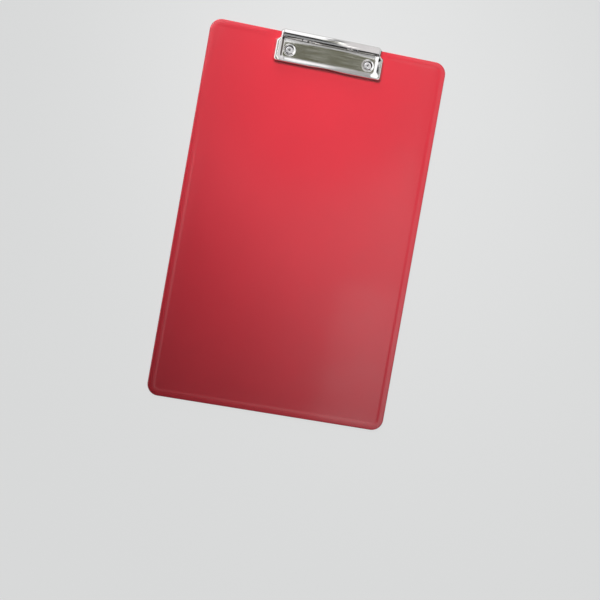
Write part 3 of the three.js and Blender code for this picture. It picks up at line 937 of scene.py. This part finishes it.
def make_turned(name, profile, side):
    place = (side * RIVET_SPACING / 2, HINGE_PLACE - RIVET_REACH, 0)
    return make_piece(name, lathe(profile), place)


# Torsion springs


def round_axis(x, degrees):
    """A point on the coil. The angle is 0 towards the paper and rises away from the board."""
    angle = math.radians(degrees)
    y = -COIL_RADIUS * math.cos(angle)
    return Vector((x, y, AXIS_HEIGHT + COIL_RADIUS * math.sin(angle)))


def spring_route(side):
    """The wire's middle line: fixed leg, coil, bend and moving leg."""
    turn = FULL_TURN * (COIL_TURNS + 1) + MOVING_LEG_TANGENT_ANGLE - FIXED_LEG_TANGENT_ANGLE
    steps = round(turn / FULL_TURN * COIL_STEPS)
    outer = COIL_START + turn / FULL_TURN * COIL_PITCH
    coil = []
    for i in range(steps + 1):
        x = outer + (COIL_START - outer) * i / steps
        coil.append(round_axis(side * x, FIXED_LEG_TANGENT_ANGLE + turn * i / steps))
    heading = math.radians(FIXED_LEG_TANGENT_ANGLE - 90)
    leg = Vector((0, -math.cos(heading), math.sin(heading))) * FIXED_LEG_LENGTH
    height = PANEL_EDGE_HEIGHT + WIRE_RADIUS + LEG_REST_GAP
    x = side * COIL_START
    bend = Vector((x, -(COIL_RADIUS + WIRE_RADIUS), height - LEG_REST_GAP / 2))
    return [coil[0] + leg, *coil, bend, Vector((x, -JAW_REAR, height))]


def make_spring(hand, side):
    curve = bpy.data.curves.new("wire", "CURVE")
    curve.dimensions = "3D"
    curve.bevel_depth = WIRE_RADIUS * MM
    curve.bevel_resolution = WIRE_ROUND_STEPS
    curve.use_fill_caps = True
    spline = curve.splines.new("NURBS")
    route = spring_route(side)
    spline.points.add(len(route) - 1)
    for point, place in zip(spline.points, route):
        point.co = (*((place + Vector(CLIP_PLACE)) * MM), 1)
    spline.order_u = WIRE_CURVE_ORDER
    spline.resolution_u = WIRE_CURVE_STEPS
    spline.use_endpoint_u = True
    wire = bpy.data.objects.new("wire", curve)
    bpy.context.collection.objects.link(wire)
    graph = bpy.context.evaluated_depsgraph_get()
    mesh = bpy.data.meshes.new_from_object(wire.evaluated_get(graph))
    bpy.data.objects.remove(wire)
    return show(f"spring_{hand}_shell", mesh)


def wind(piece):
    """Makes the spring's placement part of its mesh."""
    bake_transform(piece)


# Materials


def new_material(name):
    material = bpy.data.materials.new(name)
    material.use_nodes = True
    nodes = material.node_tree.nodes
    return material, nodes, material.node_tree.links, nodes["Principled BSDF"]


def noise(nodes, links, scale, detail, stretch=(1, 1, 1)):
    """Noise in the piece's own space, drawn out along its axes, as a value about one half."""
    place = nodes.new("ShaderNodeTexCoord")
    mapping = nodes.new("ShaderNodeMapping")
    mapping.inputs["Scale"].default_value = stretch
    texture = nodes.new("ShaderNodeTexNoise")
    texture.inputs["Scale"].default_value = scale
    texture.inputs["Detail"].default_value = detail
    links.new(place.outputs["Object"], mapping.inputs["Vector"])
    links.new(mapping.outputs["Vector"], texture.inputs["Vector"])
    return texture.outputs["Fac"]


def spread(nodes, links, value, low, high, start=NOISE_LOW, end=NOISE_HIGH):
    """Maps a value from one range, which is a noise's where none is given, to another."""
    node = nodes.new("ShaderNodeMapRange")
    node.inputs["From Min"].default_value = start
    node.inputs["From Max"].default_value = end
    node.inputs["To Min"].default_value = low
    node.inputs["To Max"].default_value = high
    links.new(value, node.inputs["Value"])
    return node.outputs["Result"]


def blend_colours(nodes, links, share, first, second):
    """A colour between two others. Each is a colour or another node's output."""
    mix = nodes.new("ShaderNodeMix")
    mix.data_type = "RGBA"
    links.new(share, mix.inputs["Factor"])
    for socket, colour in ((mix.inputs[6], first), (mix.inputs[7], second)):
        if isinstance(colour, tuple):
            socket.default_value = (*colour, 1)
        else:
            links.new(colour, socket)
    return mix.outputs[2]


def bump(nodes, links, shader, height, distance, strength, under=None):
    """Raises a finish by a height, on top of another bump where one is given."""
    node = nodes.new("ShaderNodeBump")
    node.inputs["Distance"].default_value = distance
    node.inputs["Strength"].default_value = strength
    links.new(height, node.inputs["Height"])
    if under:
        links.new(under, node.inputs["Normal"])
    links.new(node.outputs["Normal"], shader.inputs["Normal"])
    return node.outputs["Normal"]


def red_plastic():
    """Gloss moulded plastic: deep red, faintly clouded, with a soft sheen under a clear skin."""
    material, nodes, links, shader = new_material("red_plastic")
    cloud = spread(nodes, links, noise(nodes, links, *RED_CLOUD), 0, 1)
    links.new(blend_colours(nodes, links, cloud, *RED_COLOURS), shader.inputs["Base Color"])
    haze = noise(nodes, links, *RED_HAZE)
    links.new(spread(nodes, links, haze, *RED_ROUGHNESS), shader.inputs["Roughness"])
    shader.inputs["Coat Weight"].default_value = RED_COAT
    shader.inputs["Coat Roughness"].default_value = RED_COAT_ROUGHNESS
    shader.inputs["Specular IOR Level"].default_value = RED_SPECULAR
    bump(nodes, links, shader, noise(nodes, links, *RED_PEEL), *RED_PEEL_BUMP)
    return material


def bright_plate(name, colour, roughness):
    """Bright nickel plate over pressed steel: slightly uneven, with fine polishing lines."""
    material, nodes, links, shader = new_material(name)
    shader.inputs["Metallic"].default_value = 1
    dull = tuple(value * PLATE_DULL_SHARE for value in colour)
    cloud = spread(nodes, links, noise(nodes, links, *PLATE_CLOUD), 0, 1)
    links.new(blend_colours(nodes, links, cloud, colour, dull), shader.inputs["Base Color"])
    lines = noise(nodes, links, *PLATE_LINES)
    rough = spread(nodes, links, lines, roughness, roughness + PLATE_ROUGHER)
    links.new(rough, shader.inputs["Roughness"])
    wave = bump(nodes, links, shader, noise(nodes, links, *PLATE_WAVE), *PLATE_WAVE_BUMP)
    bump(nodes, links, shader, lines, *PLATE_LINE_BUMP, under=wave)
    return material


def plain_steel(name, colour, roughness, stretch):
    """Drawn or stamped steel with a dull zinc skin and fine lines."""
    material, nodes, links, shader = new_material(name)
    shader.inputs["Metallic"].default_value = 1
    cloud = spread(nodes, links, noise(nodes, links, *STEEL_CLOUD), 0, 1)
    dark = tuple(value * STEEL_DARK_SHARE for value in colour)
    links.new(blend_colours(nodes, links, cloud, colour, dark), shader.inputs["Base Color"])
    lines = noise(nodes, links, *STEEL_LINES, stretch)
    rough = spread(nodes, links, lines, roughness, roughness + STEEL_ROUGHER)
    links.new(rough, shader.inputs["Roughness"])
    bump(nodes, links, shader, lines, *STEEL_LINE_BUMP)
    return material


def light_path_share(nodes, links, names):
    """1 for the named kinds of ray, and 0 for the others."""
    path = nodes.new("ShaderNodeLightPath")
    total = path.outputs[names[0]]
    for name in names[1:]:
        add = nodes.new("ShaderNodeMath")
        add.operation = "ADD"
        add.use_clamp = True
        links.new(total, add.inputs[0])
        links.new(path.outputs[name], add.inputs[1])
        total = add.outputs[0]
    return total


def floor_material():
    """Pale matt floor that shows its own grey to the camera and to gloss, and keeps the shadow."""
    material, nodes, links, shader = new_material("pale_floor")
    shader.inputs["Roughness"].default_value = FLOOR_ROUGHNESS
    grain = spread(nodes, links, noise(nodes, links, *FLOOR_GRAIN), 0, 1)
    links.new(blend_colours(nodes, links, grain, *FLOOR_COLOURS), shader.inputs["Base Color"])
    glow = nodes.new("ShaderNodeEmission")
    glow.inputs["Color"].default_value = (*FLOOR_GLOW_COLOUR, 1)
    glow.inputs["Strength"].default_value = FLOOR_GLOW
    mix = nodes.new("ShaderNodeMixShader")
    share = light_path_share(nodes, links, ["Is Camera Ray", "Is Glossy Ray"])
    part = nodes.new("ShaderNodeMath")
    part.operation = "MULTIPLY"
    part.inputs[1].default_value = FLOOR_GLOW_SHARE
    links.new(share, part.inputs[0])
    links.new(part.outputs[0], mix.inputs["Fac"])
    links.new(shader.outputs["BSDF"], mix.inputs[1])
    links.new(glow.outputs["Emission"], mix.inputs[2])
    links.new(mix.outputs["Shader"], nodes["Material Output"].inputs["Surface"])
    return material


# Stage, lamps and camera


def make_floor():
    mesh = bpy.data.meshes.new("floor")
    half = FLOOR_SIZE / 2
    corners = [(-half, -half, 0), (half, -half, 0), (half, half, 0), (-half, half, 0)]
    mesh.from_pydata(corners, [], [(0, 1, 2, 3)])
    floor = bpy.data.objects.new("floor", mesh)
    floor.data.materials.append(floor_material())
    bpy.context.collection.objects.link(floor)


def product(nodes, links, first, second):
    node = nodes.new("ShaderNodeMath")
    node.operation = "MULTIPLY"
    links.new(first, node.inputs[0])
    links.new(second, node.inputs[1])
    return node.outputs[0]


def facing(nodes, links, direction, other):
    """How far a direction points along another."""
    node = nodes.new("ShaderNodeVectorMath")
    node.operation = "DOT_PRODUCT"
    links.new(direction, node.inputs[0])
    node.inputs[1].default_value = other
    return node.outputs["Value"]


def across(nodes, links, value, span):
    """The share of a span that a value has passed."""
    return spread(nodes, links, value, 0, 1, *span)


def room_colour(nodes, links):
    """What gloss sees: grey, light overhead, bands at the right, windows and a shaded patch."""
    place = nodes.new("ShaderNodeTexCoord")
    direction = place.outputs["Generated"]
    split = nodes.new("ShaderNodeSeparateXYZ")
    links.new(direction, split.inputs["Vector"])
    x, y, z = split.outputs

    room = blend_colours(nodes, links, across(nodes, links, z, LOW_SPAN), ROOM_GREY, ROOM_LOW)
    trend = across(nodes, links, facing(nodes, links, direction, OVERHEAD_TREND), OVERHEAD_RISE)
    overhead = blend_colours(nodes, links, trend, OVERHEAD_DARK, OVERHEAD_LIGHT)
    room = blend_colours(nodes, links, across(nodes, links, z, OVERHEAD_SPAN), room, overhead)
    for span, colour in RIGHT_BANDS:
        room = blend_colours(nodes, links, across(nodes, links, x, span), room, colour)

    left, right, rear = RAIL_SPANS
    rail = product(nodes, links, across(nodes, links, x, left), across(nodes, links, x, right))
    rail = product(nodes, links, rail, across(nodes, links, y, rear))
    room = blend_colours(nodes, links, rail, room, RAIL_GREY)
    for left, rear in (WINDOW_SPANS, CORNER_SPANS):
        pane = product(nodes, links, across(nodes, links, x, left), across(nodes, links, y, rear))
        room = blend_colours(nodes, links, pane, room, WINDOW)
    beside = across(nodes, links, x, BESIDE_SPAN)
    room = blend_colours(nodes, links, beside, room, WINDOW)

    shade = across(nodes, links, facing(nodes, links, direction, SHADED_DIRECTION), SHADED_SPAN)
    return blend_colours(nodes, links, shade, room, SHADED)


def make_world():
    """A dim room for soft light, a pale one behind the object, and the room in the gloss."""
    world = bpy.data.worlds.new("room")
    bpy.context.scene.world = world
    world.use_nodes = True
    nodes = world.node_tree.nodes
    links = world.node_tree.links
    glossy = light_path_share(nodes, links, ["Is Glossy Ray"])
    soft = blend_colours(nodes, links, glossy, SOFT_LIGHT, room_colour(nodes, links))
    camera = light_path_share(nodes, links, ["Is Camera Ray", "Is Transmission Ray"])
    colour = blend_colours(nodes, links, camera, soft, BACKGROUND)
    links.new(colour, nodes["Background"].inputs["Color"])


def hang(lamp, place, target, shows_in_gloss):
    """Puts a lamp in its place and aims it."""
    obj = bpy.data.objects.new(lamp.name, lamp)
    obj.visible_glossy = shows_in_gloss
    obj.location = place
    obj.rotation_euler = (Vector(target) - Vector(place)).to_track_quat("-Z", "Y").to_euler()
    bpy.context.collection.objects.link(obj)


def make_lamps():
    """Two soft spots that gloss doesn't show, and a card whose straight edge it does."""
    spots = (("key", KEY_POWER, KEY_CONE, KEY_PLACE, KEY_TARGET),
             ("top", TOP_POWER, TOP_CONE, TOP_PLACE, TOP_TARGET))
    for name, power, cone, place, target in spots:
        spot = bpy.data.lights.new(name, "SPOT")
        spot.energy = power
        spot.spot_size = math.radians(cone)
        spot.spot_blend = 1
        spot.shadow_soft_size = SPOT_RADIUS
        hang(spot, place, target, False)
    card = bpy.data.lights.new("card", "AREA")
    card.shape = "RECTANGLE"
    card.size, card.size_y = CARD_SIZE
    card.energy = CARD_POWER
    x, y, _ = CARD_PLACE
    hang(card, CARD_PLACE, (x, y, 0), True)


def make_camera():
    """The photograph's view: from above and a little to the left, with the frame turned."""
    camera = bpy.data.objects.new("camera", bpy.data.cameras.new("camera"))
    camera.data.lens = CAMERA_LENS
    camera.location = CAMERA_PLACE
    heading = (CAMERA_TARGET - CAMERA_PLACE).normalized()
    right = heading.cross(Vector((0, 1, 0))).normalized()
    axes = Matrix((right, right.cross(heading), -heading)).transposed()
    camera.rotation_euler = (axes @ Matrix.Rotation(math.radians(CAMERA_ROLL), 3, "Z")).to_euler()
    bpy.context.collection.objects.link(camera)
    bpy.context.scene.camera = camera


# The scene

make_camera()
make_world()
make_lamps()
make_floor()

plastic = red_plastic()
clip_plate = bright_plate("clip_chrome", *CLIP_CHROME)
rivet_plate = bright_plate("rivet_chrome", *RIVET_CHROME)
pin_steel = plain_steel("pin_steel", *PIN_STEEL)
wire_steel = plain_steel("spring_steel", *SPRING_STEEL)
washer_steel = plain_steel("washer_steel", *WASHER_STEEL)

dress(make_board(), "board", "root", plastic)
dress(make_base_plate(), "base_plate", "root", clip_plate)
dress(make_jaw(), "jaw", "jaw", clip_plate)
dress(make_pin(), "hinge_pin", "jaw", pin_steel)
for hand, side in SIDES.items():
    rivet = make_turned(f"rivet_{hand}_shell", rivet_profile(), side)
    dress(rivet, f"rivet_{hand}", "root", rivet_plate)
    washer = make_turned(f"washer_{hand}_shell", washer_profile(), side)
    dress(washer, f"rivet_washer_{hand}", "root", washer_steel)
    spring = make_spring(hand, side)
    dress(spring, f"torsion_spring_{hand}", None, wire_steel)
    wind(spring)

bpy.context.scene.view_settings.view_transform = "Standard"
